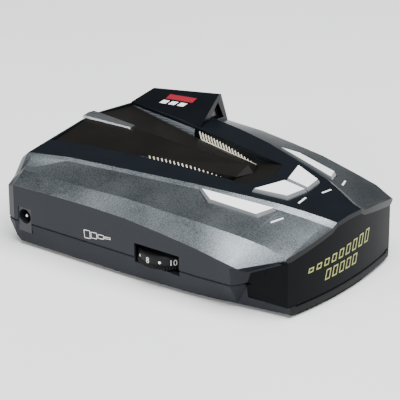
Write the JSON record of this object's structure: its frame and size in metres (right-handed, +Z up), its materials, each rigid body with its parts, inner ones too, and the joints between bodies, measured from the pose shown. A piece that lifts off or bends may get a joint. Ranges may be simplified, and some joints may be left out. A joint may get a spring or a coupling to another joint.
{
  "type": "radar detector",
  "caption": "Windshield radar detector: faceted case with bowed display lens, top buttons, side volume wheel, raised laser housing and power jack.",
  "frame": {"origin": "centre of the base, on the surface the case stands on", "axes": "+Y towards the windshield end (the display faces -Y), +Z up, +X to the right of a driver facing the display"},
  "size_m": [0.0766, 0.108, 0.0379],
  "materials": {
    "case_grey": "painted satin, silver grey",
    "lower_grey": "painted satin, slate grey",
    "cover_black": "semi-gloss blue black",
    "roof_black": "satin warm black",
    "louvre_cream": "satin moulded",
    "band_texture": "fine embossed texture",
    "trim_silver": "satin chrome",
    "lens_smoked": "smoked polycarbonate",
    "hump_black": "semi-gloss",
    "laser_lens": "dark infrared lens",
    "button_silver": "satin silver paint",
    "wheel_black": "satin black",
    "black_nylon": "moulded nylon",
    "pot_metal": "plain",
    "jack_black": "moulded",
    "pin_metal": "nickel plated",
    "board_green": "solder mask",
    "display_glass": "clear",
    "horn_metal": "die cast",
    "tin_plate": "tinned",
    "speaker_steel": "plain",
    "cone_paper": "coated paper",
    "cloth_cream": "woven",
    "chip_black": "epoxy",
    "cap_sleeve": "shrink sleeve",
    "screw_steel": "zinc plated",
    "plate_silver": "blank foil label"
  },
  "bodies": {
    "case": {"lower_shell": "lower_grey", "upper_shell": "case_grey", "top_cover": "cover_black", "roof_panel": "roof_black", "left_louvre": "louvre_cream", "right_louvre": "louvre_cream", "left_texture_band": "band_texture", "right_texture_band": "band_texture", "crest_trim": "trim_silver", "display_lens": "lens_smoked", "laser_housing": "hump_black", "rear_laser_lens": "laser_lens", "front_laser_lens": "laser_lens", "tact_switches": "tin_plate", "volume_pot": "pot_metal", "wheel_retainer": "pot_metal", "jack_housing": "jack_black", "jack_pin": "pin_metal", "circuit_board": "board_green", "display_module": "board_green", "display_glass": "display_glass", "horn_antenna": "horn_metal", "microwave_shield": "tin_plate", "laser_sensors": "chip_black", "speaker_frame": "speaker_steel", "speaker_cone": "cone_paper", "acoustic_cloth": "cloth_cream", "chips": "chip_black", "capacitors": "cap_sleeve", "bracket_socket": "black_nylon", "case_screws": "screw_steel", "rating_plate": "plate_silver"},
    "left_outer": {"left_outer_button": "button_silver", "left_outer_plunger": "black_nylon"},
    "right_outer": {"right_outer_button": "button_silver", "right_outer_plunger": "black_nylon"},
    "left_centre": {"left_centre_button": "button_silver", "left_centre_plunger": "black_nylon"},
    "right_centre": {"right_centre_button": "button_silver", "right_centre_plunger": "black_nylon"},
    "wheel": {"volume_wheel": "wheel_black"}
  },
  "joints": [
    {"name": "left_outer_press", "type": "slide", "parent": "case", "child": "left_outer", "axis": [0, 0, -1], "range_m": [0, 0.0006], "stiffness_N_per_m": 900, "springref_m": -0.0003},
    {"name": "right_outer_press", "type": "slide", "parent": "case", "child": "right_outer", "axis": [0, 0, -1], "range_m": [0, 0.0006], "stiffness_N_per_m": 900, "springref_m": -0.0003},
    {"name": "left_centre_press", "type": "slide", "parent": "case", "child": "left_centre", "axis": [0, 0, -1], "range_m": [0, 0.0006], "stiffness_N_per_m": 900, "springref_m": -0.0003},
    {"name": "right_centre_press", "type": "slide", "parent": "case", "child": "right_centre", "axis": [0, 0, -1], "range_m": [0, 0.0006], "stiffness_N_per_m": 900, "springref_m": -0.0003},
    {"name": "volume_turn", "type": "hinge", "parent": "case", "child": "wheel", "pos_m": [-0.0277, -0.0043, 0.0095], "axis": [0, 0, 1], "range_deg": [-38, 232]}
  ]
}
